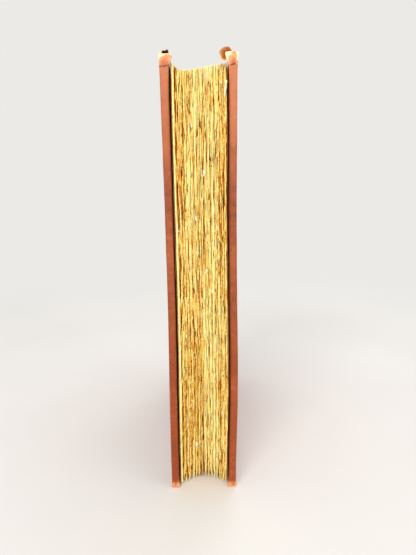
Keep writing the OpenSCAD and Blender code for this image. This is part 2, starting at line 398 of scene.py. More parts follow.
def leaf_edge_material():
    material, w, shader = new_material("leaf_edges")
    place = object_place(w)
    across, _, height = w.split(place)
    facing, _, upward = w.split(w.add("ShaderNodeNewGeometry").outputs["True Normal"])
    # How pale each point is: a sum that starts with how far the leaf stands out, so deeper points
    # are darker, partly real browning and partly painted shade.
    value = attribute(w, "proud") * 0.2 + 0.6
    for middle, half, border, amount in ZONES:
        off = abs(across - middle * MM)
        value = value + w.span(off, half * MM, (half + border) * MM, amount, 0.0)
    value = value + w.span(height, (HEAD_Z - 5) * MM, (HEAD_Z - 1.5) * MM, 0.0, 0.14)
    value = value + w.span(upward, 0.6, 0.95, 0.0, -0.2)
    # The sides of the leaves, seen in the slits, are darker: partly real browning and partly
    # painted shade.
    value = value + w.span(abs(facing), 0.5, 0.9, 0.0, -0.36)
    value = value + attribute(w, "leaf_tone") * 0.22
    relief = []
    for factors, detail, rough, amount in (STREAK, FLECK, LINE, DRIFT, BUNDLE):
        marks = w.noise(w.stretch(place, factors), 1, detail, rough)
        value = value + (marks * amount - 0.5 * amount)
        relief.append(marks)
    # Brown specks of dirt, and a few pale ones.
    speck = w.noise(w.stretch(place, (1500, 200, 330)))
    value = value + w.span(speck, 0.66, 0.74) * -0.45
    value = value + w.span(speck, 0.24, 0.34, 0.35, 0.0)
    edge = w.ramp(
        value,
        (0.04, srgb(156, 54, 8)),
        (0.22, srgb(244, 136, 34)),
        (0.38, srgb(255, 198, 74)),
        (0.58, srgb(255, 240, 124)),
        (0.80, srgb(255, 255, 180)),
    )
    # Painted shade: the deeper points are tinted orange-brown, the colour of the slits in shade.
    deep = w.span(attribute(w, "proud"), -1.8, 0.3, 0.75, 0.0)
    edge = w.mix(deep, edge, srgb(214, 122, 36))
    dress(w, shader, edge, 0.9, 0.15, (relief[0] + relief[1], 0.00025, 0.5))
    return material


leaf_edges = leaf_edge_material()
print("finish:", leaf_edges.name)

# %% The finishes of endpapers and torn leaves


def endpaper_material(name, plain, browned_and_shade, reach_mm, rim_stain_and_shade=None):
    """Paper that is browned over reach_mm from its borders, and stained at the rim. On the
    pastedowns this dark border is partly painted shade.
    """
    material, w, shader = new_material(name)
    place = object_place(w)
    _, y, z = w.split(place)
    nearest_end = w.math("MINIMUM", z - 3 * MM, (BOOK_H - 3) * MM - z)
    border = w.math("MINIMUM", nearest_end, y - (FORE_Y + 4) * MM)
    wander = w.noise(place, 60, 4, 0.6) * 0.016 - 0.008
    toned_and_shaded = w.span(border + wander, 0.0, reach_mm * MM, 1.0, 0.0)
    cloud = w.noise(place, 18, 5, 0.6)
    fibre = w.noise(place, 900, 4, 0.7)
    foxing = w.span(w.noise(place, 170, 3, 0.6), 0.66, 0.75)
    colour = w.mix(toned_and_shaded * 0.75, plain, browned_and_shade)
    colour = w.mix(w.span(cloud, 0.42, 0.68) * 0.25, colour, browned_and_shade)
    colour = w.mix(foxing * 0.4, colour, srgb(166, 104, 52))
    colour = w.mix(fibre * 0.14, colour, srgb(255, 248, 226))
    if rim_stain_and_shade:
        rim = w.span(border + wander * 0.6, 2 * MM, 13 * MM, 0.9, 0.0)
        colour = w.mix(rim, colour, rim_stain_and_shade)
    dress(w, shader, colour, 0.88, 0.2, (fibre + cloud * 2, 0.0001, 0.5))
    return material


# The pastedown's dark border and rim are partly browning from the leather and partly painted shade
# of the gap inside the cover.
pastedown_paper = endpaper_material(
    "pastedown_paper", srgb(222, 190, 138), srgb(150, 84, 38), 20, rim_stain_and_shade=srgb(104, 54, 24)
)
flyleaf_paper = endpaper_material(
    "flyleaf_paper", srgb(246, 222, 162), srgb(186, 112, 52), 14, rim_stain_and_shade=srgb(176, 100, 42)
)
torn_paper = endpaper_material("torn_leaf_paper", srgb(255, 250, 226), srgb(250, 232, 180), 2)
print("paper finishes:", pastedown_paper.name, flyleaf_paper.name, torn_paper.name)

# %% [markdown]
# ## Board, hemp and silk
# These three are nearly hidden. Pasteboard is dense grey-brown paper pulp, the sewing supports are
# twisted hemp, and the headbands are faded silk. Each still gets its own fibre pattern, because
# they show when the book is taken apart.

# %% The finishes for hidden pieces


def fibre_material(name, dark, light, stretch, scale, rough, depth):
    """Fibres are noise that is drawn out along one way; depth is that of the bump, in metres."""
    material, w, shader = new_material(name)
    place = object_place(w)
    strand = w.noise(w.stretch(place, stretch), scale, 5, 0.7)
    cloud = w.noise(place, 80, 3, 0.5)
    colour = w.ramp(strand * 0.7 + cloud * 0.3, (0.35, dark), (0.65, light))
    dress(w, shader, colour, rough, 0.25, (strand, depth, 0.7))
    return material


pasteboard = fibre_material(
    "pasteboard", srgb(140, 110, 74), srgb(188, 158, 116), (1, 0.4, 0.4), 1400, 0.95, 0.0002
)
hemp = fibre_material(
    "hemp_cord", srgb(150, 124, 78), srgb(214, 192, 146), (0.5, 1, 3), 1600, 0.85, 0.0003
)
silk_pale = fibre_material(
    "silk_straw", srgb(196, 172, 118), srgb(232, 214, 164), (1, 1, 0.3), 2600, 0.5, 0.00006
)
silk_dark = fibre_material(
    "silk_faded_red", srgb(126, 60, 42), srgb(168, 92, 66), (1, 1, 0.3), 2600, 0.5, 0.00006
)
print("hidden finishes:", pasteboard.name, hemp.name, silk_pale.name, silk_dark.name)

# %% [markdown]
# ## Noise that numpy can work out
# Shapes in mesh code need their own unevenness. A sum of waves in random directions gives soft
# lumps of a chosen size, the same on each run because the seed is fixed.

# %% Lumps and fades for mesh code


def lumps(points, wavelength, seed, waves=14):
    """Smooth unevenness, about -1 to 1, for an array of points in mm."""
    rng = np.random.default_rng(seed)
    ways = rng.normal(size=(waves, 3))
    ways /= np.linalg.norm(ways, axis=1)[:, None]
    ways *= 2 * np.pi / wavelength * rng.uniform(0.6, 1.5, (waves, 1))
    phases = rng.uniform(0, 2 * np.pi, waves)
    return np.sin(points @ ways.T + phases).sum(1) / math.sqrt(waves)


def fade(t):
    """1 at t = 0, 0 from t = 1 on, with no kink at either end."""
    return (1 + np.cos(np.pi * np.clip(t, 0, 1))) / 2


def step(value, low, high):
    """0 up to low, 1 from high on, smooth between."""
    t = np.clip((value - low) / (high - low), 0, 1)
    return t * t * (3 - 2 * t)


def column_points(x, y, z):
    """Points from columns of coordinates, any of which may be one number."""
    return np.stack(np.broadcast_arrays(x, y, z), 1)


# %% [markdown]
# ## How the old boards have bent
# No board of this age is flat. Along the fore-edge each one wanders by half a millimetre, and the
# back board's lower corner is bent in. The bend fades out towards the stiff spine, and the leaves
# follow their boards, so that the dark gap between them keeps its width.

# %% The bow of the covers and leaves
# Heights in mm, and how far each board lies off its plane there
BOW_Z = [0, 5, 12, 56, 85, 115, 168, 200, 222, 240]
BOW_FRONT = [0.15, 0.15, 0.0, -0.05, 0.3, 0.45, 0.2, -0.1, -0.25, 0.0]
BOW_BACK = [-0.66, -0.66, -0.6, 0.5, 0.45, 0.05, -0.3, 0.05, 0.0, -0.1]


def bow(x, y, z):
    """How far a point at rest is carried in X by the bend of its board."""
    heights = np.linspace(0, BOOK_H, 241)
    weights = np.exp(-0.5 * (np.arange(-16, 17) / 7) ** 2)
    weights /= weights.sum()
    curves = []
    for values in (BOW_FRONT, BOW_BACK):
        rough = np.pad(np.interp(heights, BOW_Z, values), 16, mode="edge")
        curves.append(np.interp(z, heights, np.convolve(rough, weights, mode="valid")))
    share = np.clip((x + HALF_T) / (2 * HALF_T), 0, 1)
    strength = np.clip((COVER_BACK - y) / (COVER_BACK - FORE_Y), 0, 1) ** 1.5
    return (curves[0] * (1 - share) + curves[1] * share) * strength


middle = bow(np.array([-HALF_T]), FORE_Y, BOOK_H / 2)[0]
print(f"the front board is bowed by {middle:.2f} mm at mid height")

# %% [markdown]
# ## From arrays to a mesh
# The covers, endpapers, joint strips and torn pieces all start as a closed box whose sides are
# grids, fine near the edges and coarse in the middle. Bending, rounding and bruising only move the
# points, so the box stays closed and its faces keep pointing outwards.

# %% Closed box grids and mesh objects


def box_grid(xs, ys, zs):
    """Points and outward four-sided faces of a closed box with grid lines at xs, ys and zs."""
    counts = (len(xs), len(ys), len(zs))
    quads = []
    for axis in range(3):
        for end in (0, counts[axis] - 1):
            one, two = [(axis + 1) % 3, (axis + 2) % 3][:: 1 if end else -1]
            p, q = (part.ravel() for part in np.indices((counts[one] - 1, counts[two] - 1)))
            for_face = []
            for dp, dq in ((0, 0), (1, 0), (1, 1), (0, 1)):
                triple = [None, None, None]
                triple[axis], triple[one], triple[two] = end, p + dp, q + dq
                for_face.append((triple[0] * counts[1] + triple[1]) * counts[2] + triple[2])
            quads.append(np.stack(for_face, 1))
    quads = np.concatenate(quads)
    used, faces = np.unique(quads, return_inverse=True)
    faces = faces.reshape(-1, 4)
    i, j, k = used // (counts[1] * counts[2]), used // counts[2] % counts[1], used % counts[2]
    points = np.stack([np.asarray(xs)[i], np.asarray(ys)[j], np.asarray(zs)[k]], 1).astype(float)
    return points, faces


def mesh_object(name, xyz_mm, faces, material, smooth=True, **attributes):
    """A mesh from three columns of coordinates in mm, with a number for each point if named."""
    mesh = bpy.data.meshes.new(name)
    mesh.from_pydata((np.stack(xyz_mm, 1) * MM).tolist(), [], faces.tolist())
    mesh.validate()
    for key, values in attributes.items():
        layer = mesh.attributes.new(key, "FLOAT", "POINT")
        layer.data.foreach_set("value", np.asarray(values, np.float32))
    mesh.materials.append(material)
    if smooth:
        mesh.shade_smooth()
    return add_object(name, mesh)


def on_side(way, x, faces):
    """Keeps a shape on the back board's side, or turns it over to the front board's."""
    return (x, faces) if way > 0 else (-x, faces[:, ::-1])


def graded(start, stop, fine, coarse, fine_reach, both=False):
    """Grid lines from start to stop, close together near start, and near stop too if both."""
    lines, at = [start], start
    while at < stop:
        near = min(at - start, stop - at) if both else at - start
        at += fine + (coarse - fine) * min(1.0, max(0.0, near / fine_reach - 0.5))
        lines.append(at)
    lines = np.array(lines)
    return start + (lines - start) * (stop - start) / (lines[-1] - start)


print("a small box grid has", len(box_grid([0, 1, 2], [0, 1, 2], [0, 1, 2])[0]), "points")

# %% [markdown]
# ## The covers
# A cover is a stiff board with leather drawn over it. Its square edges, the arrises, are rubbed
# round, and its two corners at the fore-edge have been knocked: the board there has opened like
# the end of a brush, so the leather spreads on both faces. At the head the leather has split below
# that spread. The cover is one closed box grid: first its corners and arrises are rounded by
# turning squares into discs, then the corners are spread, cracked and bent.

# %% Round off the corners and arrises of a cover
COVER_HALF = (HALF_T - INNER_X) / 2
COVER_MID = (HALF_T + INNER_X) / 2
CORNER_R = 2.5
ARRIS_R = 1.1


def disc(p, q):
    """Carries a point of a unit square into the unit disc, so that its corner becomes an arc."""
    return p * np.sqrt(1 - q * q / 2), q * np.sqrt(1 - p * p / 2)


def round_cover(across, depth, z, corner_r=CORNER_R, arris_r=ARRIS_R):
    """across is from the cover's middle, depth is from the fore-edge. Returns them rounded, and
    the distance of each point from the nearest edge of the board."""
    flat = COVER_HALF - arris_r
    depth, z = depth.copy(), z.copy()
    edge = np.minimum(depth, np.minimum(z, BOOK_H - z))
    out_depth = np.where(depth <= edge, -1.0, 0.0)
    out_z = np.where(out_depth < 0, 0.0, np.where(z < BOOK_H / 2, -1.0, 1.0))
    for at_head in (False, True):
        end = BOOK_H - z if at_head else z
        near = (depth < corner_r) & (end < corner_r)
        p, q = disc((corner_r - depth[near]) / corner_r, (corner_r - end[near]) / corner_r)
        depth[near] = corner_r * (1 - p)
        z[near] = BOOK_H - corner_r * (1 - q) if at_head else corner_r * (1 - q)
        length = np.hypot(p, q)
        edge[near] = corner_r * (1 - length)
        safe = np.maximum(length, 1e-9)
        out_depth[near] = -p / safe
        out_z[near] = (q if at_head else -q) / safe
    near = (np.abs(across) > flat) & (edge < arris_r)
    p, q = disc((np.abs(across[near]) - flat) / arris_r, (arris_r - edge[near]) / arris_r)
    across = across.copy()
    across[near] = np.sign(across[near]) * (flat + arris_r * p)
    pull = arris_r * (1 - q) - edge[near]
    depth[near] -= out_depth[near] * pull
    z[near] -= out_z[near] * pull
    edge[near] += pull
    return across, depth, z, edge


print(f"a rounded arris lies {ARRIS_R * (1 - disc(1.0, 1.0)[0]):.2f} mm in from the square corner")

# %% [markdown]
# The spread of each corner is read as a few heights and widths, and joined by straight lines that
# the mesh then softens. They end in front of the leaves, which stay clear of the cover.

# %% How each cover has been knocked
# At the heights z in mm, how far the leather stands out on the outer and on the inner face. Bare
# patches: (share across, height, half width, half height, amount).
SPREADS = {
    "front": dict(
        z=[0, 1.2, 3.0, 5, 60, 200, 218, 228, 233.6, 234.4, 236.3, 238.2, 239.3, 240],
        out=[0.8, 0.65, 0.3, 0.15, 0.05, 0.0, 0.1, 0.3, 0.42, 0.6, 0.68, 0.7, 0.64, 0.4],
        inn=[1.0, 0.8, 0.5, 0.45, 0.2, 0.0, 0.1, 0.35, 0.55, 1.0, 1.9, 2.4, 2.2, 1.5],
        crack_z=233.9,
        lifted=0.1,
        bare=[
            (0.4, 239.4, 0.6, 1.1, 0.36),
            (1.0, 236.8, 0.25, 2.4, 0.25),
            (0.1, 234.9, 1.2, 0.8, -0.26),
        ],
        seed=3,
    ),
    "back": dict(
        z=[0, 1.2, 3.0, 5, 60, 200, 218, 228, 233.2, 234.2, 236.0, 238.0, 239.3, 240],
        out=[0.5, 0.35, 0.1, 0.0, 0.0, -0.1, -0.05, 0.1, 0.2, 0.3, 0.5, 0.75, 0.8, 0.8],
        inn=[1.9, 1.3, 0.6, 0.5, -0.1, -0.1, -0.1, 0.25, 0.45, 0.8, 1.6, 2.4, 2.6, 2.3],
        crack_z=234.2,
        lifted=0.9,
        bare=[
            (-0.75, 239.9, 0.5, 1.2, 0.42),
            (0.9, 237.8, 0.3, 2.4, 0.34),
            (-0.2, 236.6, 0.7, 1.6, -0.14),
        ],
        seed=8,
    ),
}
ACROSS = [-1, -0.86, -0.72, -0.58, -0.436, -0.2, 0, 0.2, 0.436, 0.58, 0.72, 0.86, 1]
SLIP_L, SLIP_W = 24, 7
END_LAP = 0.03
print("heights given for each cover:", len(SPREADS["front"]["z"]), "and", len(SPREADS["back"]["z"]))

# %% Shape the leather of both covers


def cover_leather(name):
    facts = SPREADS[name]
    seed = facts["seed"]
    depth_all = COVER_BACK - FORE_Y
    depths = graded(0.0, depth_all + END_LAP, 0.28, 3.2, 12)
    heights = graded(0.0, BOOK_H, 0.28, 1.5, 18, both=True)
    points, faces = box_grid(np.array(ACROSS) * COVER_HALF, depths, heights)
    # Rounded as a whole, but less so at the knocked corners.
    worn_soft = round_cover(*points.T)
    kept_sharp = round_cover(*points.T, corner_r=0.8, arris_r=0.55)
    head_or_tail = np.maximum(fade((BOOK_H - points[:, 2]) / 7), fade(points[:, 2] / 4))
    knocked = head_or_tail * fade(points[:, 1] / 8)
    across, depth, z, edge = (a + 0.75 * knocked * (b - a) for a, b in zip(worn_soft, kept_sharp))
    place = np.stack([across, depth, z], 1)
    soft = lumps(place, 16, seed)
    small = lumps(place, 3.2, seed + 1)
    fine = lumps(place, 1.5, seed + 6)
    share = across / COVER_HALF
    arris = np.hypot(edge, COVER_HALF - np.abs(across))
    bruise = np.maximum(fade((BOOK_H - z) / 9), fade(z / 4.5)) * fade(depth / 9)
    # The board has opened, so the leather stands out on both faces.
    spread = np.where(
        share > 0,
        share * np.interp(z, facts["z"], facts["out"]) * fade(depth / 9),
        share * np.interp(z, facts["z"], facts["inn"]) * fade(depth / 3),
    )
    x = COVER_MID + across + spread + 0.035 * soft * (share > 0)
    x += (0.13 * small + 0.08 * fine) * bruise * np.sign(share)
    # Below the spread the leather has split along an uneven line.
    line = 0.5 * lumps(place, 4.2, seed + 4) + 0.3 * lumps(place, 1.8, seed + 9)
    crack = np.exp(-(((z - facts["crack_z"] - line) / 0.34) ** 2))
    crack *= fade(depth / 5.5) * np.clip(0.85 + 0.75 * lumps(place, 3.2, seed + 5), 0, 1)
    crack[z < BOOK_H / 2] = 0
    z = z + facts["lifted"] * knocked * (z > BOOK_H / 2)
    depth = depth + (
        0.8 * crack * (edge < 2)
        + (0.22 * np.abs(small) + 0.12 * np.abs(fine)) * bruise
        + 0.08 * np.abs(soft) * fade(edge / 2)
    )
    # The cord slips under the leather show as low ridges on the outer face.
    for band in BAND_Z:
        ridge = fade(np.abs(z - band) / (SLIP_W / 2 + 1.5))
        ridge *= step(depth, depth_all - SLIP_L - 2, depth_all - SLIP_L + 4)
        ridge *= 1 - step(depth, depth_all - 9, depth_all - 3)
        x += 0.16 * ridge * (share > 0.99)
    # Wear: along the arrises, at the corners, at the tail's edge, and the bare patches.
    rubbed = 0.35 + 0.9 * lumps(place, 26, seed + 2) + 0.5 * fade((BOOK_H - z) / 70)
    wear = 0.34 * np.exp(-((arris / 0.7) ** 2)) * np.clip(rubbed, 0, 1.3)
    corner = np.hypot(depth, np.minimum(z, BOOK_H - z))
    wear += 0.46 * fade(corner / 9) + 0.45 * bruise * np.exp(-((arris / 0.9) ** 2))
    wear += 0.9 * fade(z / 1.5) * fade(depth / 8) * (edge < 1.2)
    patch = lumps(place, 3.6, seed + 3) + 0.5 * lumps(place, 1.5, seed + 7)
    wear += 0.16 * bruise * np.clip(patch, -0.9, 1.2)
    for at_share, at_z, wide, tall, amount in facts["bare"]:
        off = ((share - at_share) / wide) ** 2 + ((z - at_z) / tall) ** 2
        wear += amount * bruise * np.exp(-off)
    wear[z < BOOK_H / 2] = np.minimum(wear[z < BOOK_H / 2], 0.5)
    y = FORE_Y + depth
    x, faces = on_side(SIDES[name], x, faces)
    x = x + bow(x, y, z)
    return mesh_object(
        name + "_cover_leather", [x, y, z], faces, leather,
        worn=np.clip(wear, 0, 1), crack=np.clip(crack, 0, 1),
    )


covers = {}
for name in SIDES:
    covers[name] = cover_leather(name)
    print(covers[name].name, len(covers[name].data.polygons), "faces")

# %% [markdown]
# ## Torn leather at the head
# On the front board a tongue of leather has lifted off the head and curls over, coloured nearly
# black. On the back board a strip has peeled away and curls in over the leaves, showing its orange
# flesh side. Each is a thin sheet bent along an arc, torn to an uneven outline at its free end.

# %% Bend the torn pieces


def torn_sheet(name, arc_point, width, turn, ragged, material, seed, thick=0.6):
    """A closed sheet: arc_point(angle, radius offset, across) gives its place in mm."""
    points, faces = box_grid([-0.5, 0.5], np.linspace(-0.5, 0.5, 17), np.linspace(0, 1, 29))
    skin, u, v = points.T
    uneven = lumps(column_points(u * 6, 0, seed), 4, seed)
    reach = turn * (1 - ragged * (0.5 + 0.5 * uneven) * step(v, 0.4, 1))
    narrowing = step(v, 0.3, 1) * (1 + lumps(column_points(v * 8, 0, 0), 3, seed + 1))
    wide = width * (1 - 0.35 * ragged * narrowing)
    thin = thick * (1 - 0.55 * step(v, 0.5, 1))
    place = arc_point(reach * v, skin * thin, u * wide)
    wobble = 0.09 * lumps(place, 1.8, seed + 2)
    place = place + np.stack([wobble, wobble * 0.6, wobble * 0.4], 1)
    wear = 0.9 * step(np.abs(u), 0.30, 0.5) * step(v, 0.3, 0.9) + 0.8 * step(v, 0.88, 1.0)
    return mesh_object(name, place.T, faces, material, worn=np.clip(wear, 0, 1))


def tongue_arc(angle, off, across):
    """The tongue rises from the head, 6 mm behind the fore-edge, and curls over to the front."""
    r = 2.8 + 0.16 * across + off
    y = FORE_Y + 3.1 + r * np.cos(angle)
    z = BOOK_H - 0.6 + r * np.sin(angle)
    return np.stack([-COVER_MID + 0.4 + across, y, z], 1)


STRIP_W = 4.4
STRIP_TURN = math.radians(248)


def strip_arc(angle, off, across):
    """The curl is a cone that starts in the board's head and opens to the front."""
    s = across / STRIP_W + 0.5
    start = math.radians(72) - math.radians(92) * s
    angle = start + (STRIP_TURN - start) * angle / STRIP_TURN
    r = 3.75 - 3.1 * s + off
    x = INNER_X - 1.5 + 1.9 * s + r * np.cos(angle) * 0.95
    z = BOOK_H - 0.9 + 0.4 * s + r * np.sin(angle) * 0.9
    return np.stack([x, FORE_Y + 2.5 + across, z], 1)


TONGUE_TURN = math.radians(104)
tongue = torn_sheet("front_torn_tongue", tongue_arc, 3.6, TONGUE_TURN, 0.3, dark_leather, 21)
strip = torn_sheet(
    "back_torn_strip", strip_arc, STRIP_W, STRIP_TURN, 0.16, torn_leather, 33, thick=0.45
)

# %% [markdown]
# ## Endpapers and the card behind them
# The pastedown is the sheet glued inside each cover. It stops short of the edges, so a border of
# turned-in leather shows. Behind it a card fills the space inside the turned-in leather. The
# flyleaf is the other half of the same sheet, and lies loose against the block.

# %% Make the pastedowns and infills


def cover_sheet(name, node, material, deckle):
    """A thin sheet at a CAD node's place that bends with its cover; deckle is in mm."""
    low, high = box_mm(node)
    depths = graded(low[1], high[1], 0.6, 4, 8)
    heights = graded(low[2], high[2], 0.6, 4, 8, both=True)
    points, faces = box_grid([low[0], high[0]], depths, heights)
    x, y, z = points.T
    x = x + bow(x, y, z)
    ragged = deckle * lumps(points * (0, 1, 1), 6, 9)
    y = y + ragged * (y < low[1] + 0.01)
    z = z + ragged * ((z < low[2] + 0.01) | (z > high[2] - 0.01))
    return mesh_object(name, [x, y, z], faces, material, smooth=False)


pastedowns, infills = {}, {}
for name in SIDES:
    pastedowns[name] = cover_sheet(
        name + "_pastedown_sheet", name + "_pastedown", pastedown_paper, deckle=0.35
    )
    infills[name] = cover_sheet(name + "_infill_card", name + "_infill", pasteboard, deckle=0)
    print(pastedowns[name].name, len(pastedowns[name].data.polygons), "faces")

# %% [markdown]
# ## The leather spine
# The spine leather is pulled tight over the rounded back and over five sewing supports, which
# stand up as raised bands, and it is turned in over the headbands as a cap at each end. So its
# section along the height is one closed line, and that line is carried over the back from joint to
# joint along the same arcs that the CAD model uses.

# %% Work out the line over the back
SPINE_ROUND = 6.5
SHOULDER_R = 3
LINING = 0.3
SHOULDER_W = HALF_T - LEATHER
BACK_R = (SHOULDER_W**2 + SPINE_ROUND**2) / (2 * SPINE_ROUND)
BACK_CY = BACK_Y - BACK_R


def back_path(radius, half_width, tip_r, base, steps):
    """Points and outward normals over the back, from +X to -X: a side, a shoulder, the back arc."""
    tip_x = half_width - tip_r
    tip_y = math.sqrt((radius - tip_r) ** 2 - tip_x**2)
    turn_at = math.atan2(tip_y, tip_x)

    def arc(centre_x, centre_y, r, angles):
        ways = [(math.cos(a), math.sin(a)) for a in angles]
        return [((centre_x + r * c, centre_y + r * s), (c, s)) for c, s in ways]

    half = [((half_width, y), (1.0, 0.0)) for y in np.linspace(base, BACK_CY + tip_y, 3)]
    half += arc(tip_x, BACK_CY + tip_y, tip_r, np.linspace(0, turn_at, 9)[1:])
    half += arc(0, BACK_CY, radius, np.linspace(turn_at, math.pi / 2, steps)[1:])
    whole = half + [((-p[0], p[1]), (-n[0], n[1])) for p, n in reversed(half[:-1])]
    return np.array([p for p, _ in whole]), np.array([n for _, n in whole])


path, normals = back_path(BACK_R + LINING, SHOULDER_W, SHOULDER_R, SPINE_BASE, 22)
print(len(path), "stations over the back, which rises to", np.round(path[:, 1].max(), 1), "mm")

# %% Carry the leather's section over the back
CAP_W = 3.6
CAP_R = 1.2
BAND_RISE = 2.15
BAND_REACH = 3.4


def spine_section():
    """(distance out from the lining, height, is outside) of the leather's closed line."""
    head_turn = [(math.cos(a), math.sin(a)) for a in np.linspace(0, math.pi / 2, 7)]
    off, over = LEATHER - CAP_R, BOOK_H - CAP_R
    line = [(LEATHER, z, 1) for z in graded(CAP_R, over, 0.8, 0.8, 1)]
    line += [(off + CAP_R * c, over + CAP_R * s, 1) for c, s in head_turn[1:]]
    line += [(q, BOOK_H, 1) for q in (-1.2, -2.0, -2.8)]
    line += [(-CAP_W, BOOK_H - 0.15, 1), (-CAP_W - 0.15, BOOK_H - LEATHER / 2, 0)]
    line += [(q, BOOK_H - LEATHER, 0) for q in (-CAP_W, -2, -0.8, 0)]
    line += [(0, z, 0) for z in np.linspace(BOOK_H - 3, 3, 40)]
    line += [(q, LEATHER, 0) for q in (0, -0.8, -2, -CAP_W)]
    line += [(-CAP_W - 0.15, LEATHER / 2, 0), (-CAP_W, 0.15, 1)]
    line += [(q, 0, 1) for q in (-2.8, -2.0, -1.2)]
    line += [(off + CAP_R * c, CAP_R - CAP_R * s, 1) for c, s in head_turn[:0:-1]]
    return np.array(line)


def spine_leather_mesh():
    section = spine_section()
    rows, columns = len(section), len(path)
    out, z, outside = (np.repeat(part[:, None], columns, 1) for part in section.T)
    outside = outside.ravel() > 0.5
    roundness = np.clip(normals[:, 1], 0, 1)
    bands = sum(fade(np.abs(z - b) / BAND_REACH) for b in BAND_Z)
    out = out + bands * BAND_RISE * step(roundness, 0.25, 0.95)
    # The caps fade out towards the shoulders.
    cap = np.maximum(step(roundness, 0.25, 0.8), 0.02)
    out = np.where(out < 0, out * cap, out)
    x = path[:, 0] + normals[:, 0] * out
    y = path[:, 1] + normals[:, 1] * out
    points = np.stack([x.ravel(), y.ravel(), z.ravel()], 1)
    soft = lumps(points, 14, 51)
    wrinkle = lumps(points * (1, 1, 0.25), 3.0, 52)
    push = np.where(outside, 0.05 * soft + 0.03 * wrinkle - 0.08, 0.0)
    push *= np.tile(step(roundness, 0.0, 0.3), rows)
    points[:, :2] += np.tile(normals, (rows, 1)) * push[:, None]
    index = np.arange(rows * columns).reshape(rows, columns)
    below = np.roll(index, -1, 0)
    corners = (index[:, :-1], index[:, 1:], below[:, 1:], below[:, :-1])
    faces = np.stack([corner.ravel() for corner in corners], 1)
    # Rubbed on the bands and at both ends, and split in a few long lines.
    on_back = np.tile(step(roundness, 0.5, 1.0), rows)
    from_middle = np.abs(points[:, 2] - BOOK_H / 2) / (BOOK_H / 2)
    wear = 0.30 * on_back * bands.ravel() * np.clip(0.6 + lumps(points, 9, 53), 0, 1.5)
    at_ends = step(from_middle, 0.985, 1.0)
    wear += 0.65 * at_ends * np.clip(0.8 + 0.5 * lumps(points, 5, 54), 0, 1.3)
    split = np.exp(-((lumps(points * (1, 1, 0.2), 18, 55) / 0.05) ** 2))
    split *= np.clip(lumps(points, 20, 56) - 0.35, 0, 1)
    return points, faces, np.clip(wear, 0, 1), 0.7 * split * outside, index


points, faces, wear, split, index = spine_leather_mesh()
spine = mesh_object("spine_cover_leather", points.T, faces, leather, worn=wear, crack=split)
print(spine.name, len(faces), "faces")

# %% Close the spine leather at the joints


def close_ends(piece, loops):
    """Caps the two open ends of the swept leather at the joints and turns all faces outwards."""
    work = bmesh.new()
    work.from_mesh(piece.data)
    work.verts.ensure_lookup_table()
    for loop in loops:
        around = zip(loop, loop[1:] + loop[:1])
        edges = [work.edges.get((work.verts[a], work.verts[b])) for a, b in around]
        bmesh.ops.triangle_fill(work, use_beauty=True, edges=edges)
    bmesh.ops.recalc_face_normals(work, faces=work.faces)
    work.to_mesh(piece.data)
    open_edges = sum(not e.is_manifold for e in work.edges)
    work.free()
    return open_edges


print("open edges on the spine:", close_ends(spine, [index[:, 0].tolist(), index[:, -1].tolist()]))

# %% [markdown]
# ## The joints
# The leather runs on from the spine to each board, and bends there when the book opens. One narrow
# strip each side lies between the spine at one edge and the cover at the other. The paper inside
# the joint is two plain strips, one on the board's edge and one on the shoulder.

# %% Bridge the joints with leather and paper
JOINT_HALF = 2.6


def joint_leather(name, way):
    ys = np.linspace(HINGE_Y - JOINT_HALF, HINGE_Y + JOINT_HALF, 27)
    zs = graded(1.4, BOOK_H - 1.4, 0.5, 2.0, 4, both=True)
    points, faces = box_grid([0, 1], ys, zs)
    skin, y, z = points.T
    off = y - HINGE_Y
    proud = 0.13 * np.sqrt(np.clip(1 - (off / JOINT_HALF) ** 2, 0, 1)) + 0.01
    x = HALF_T - 0.08 + (0.09 + proud) * skin + 0.012 * lumps(points, 5, 61) * skin
    x, faces = on_side(way, x, faces)
    wear = 0.28 * np.exp(-(off**2)) * np.clip(0.5 + lumps(points, 12, 62), 0, 1.5)
    along = points * (0, 0, 1)
    split = 0.8 * np.exp(-(((off - 0.3 * lumps(along, 9, 63)) / 0.16) ** 2))
    split *= np.clip(lumps(along, 26, 64) - 0.2, 0, 1)
    return mesh_object(
        name, [x, y, z], faces, leather, worn=np.clip(wear, 0, 1), crack=np.clip(split, 0, 1)
    )


def joint_paper(name, way, y_low, y_high, x_from, x_to):
    zs = np.linspace(TAIL_Z + 0.6, HEAD_Z - 0.6, 60)
    points, faces = box_grid(np.linspace(x_from, x_to, 5), [y_low, y_high], zs)
    x, y, z = points.T
    x, faces = on_side(way, x, faces)
    return mesh_object(name, [x, y, z], faces, pastedown_paper, smooth=False)


PAPER, PAPER_FROM = 0.08, 14.6  # how thick it is, and where it starts beside the flyleaf
joints, hinge_papers = {}, {}
for name, way in SIDES.items():
    joints[name] = joint_leather(name + "_joint_leather", way)
for name, way in SIDES.items():
    hinge_papers[name] = (
        joint_paper(
            name + "_board_edge_paper", way,
            COVER_BACK, COVER_BACK + PAPER, PASTE_X + 0.1, HALF_T - LEATHER,
        ),
        joint_paper(
            name + "_shoulder_paper", way,
            SPINE_BASE - PAPER, SPINE_BASE, PAPER_FROM, SHOULDER_W - 0.2,
        ),
    )
print("joint strips:", [j.name for j in joints.values()])

# %% [markdown]
# ## The leaves
# About a hundred leaves, sewn in sixteen gatherings, make the block. They differ only by rule:
# where each stands across the block, how far its edge runs out, where it ends on the rounded back.
# So Geometry Nodes make them. One thin box grid is placed once for each leaf, and a field then
# moves every point, with the leaf's number as its seed. Slow noise along the edge moves a few
# neighbours together, which gives the streaks, and quick noise frays each edge by itself.

# %% Start a Geometry Nodes tree with named inputs
INT, FLOAT, STUFF = "NodeSocketInt", "NodeSocketFloat", "NodeSocketMaterial"


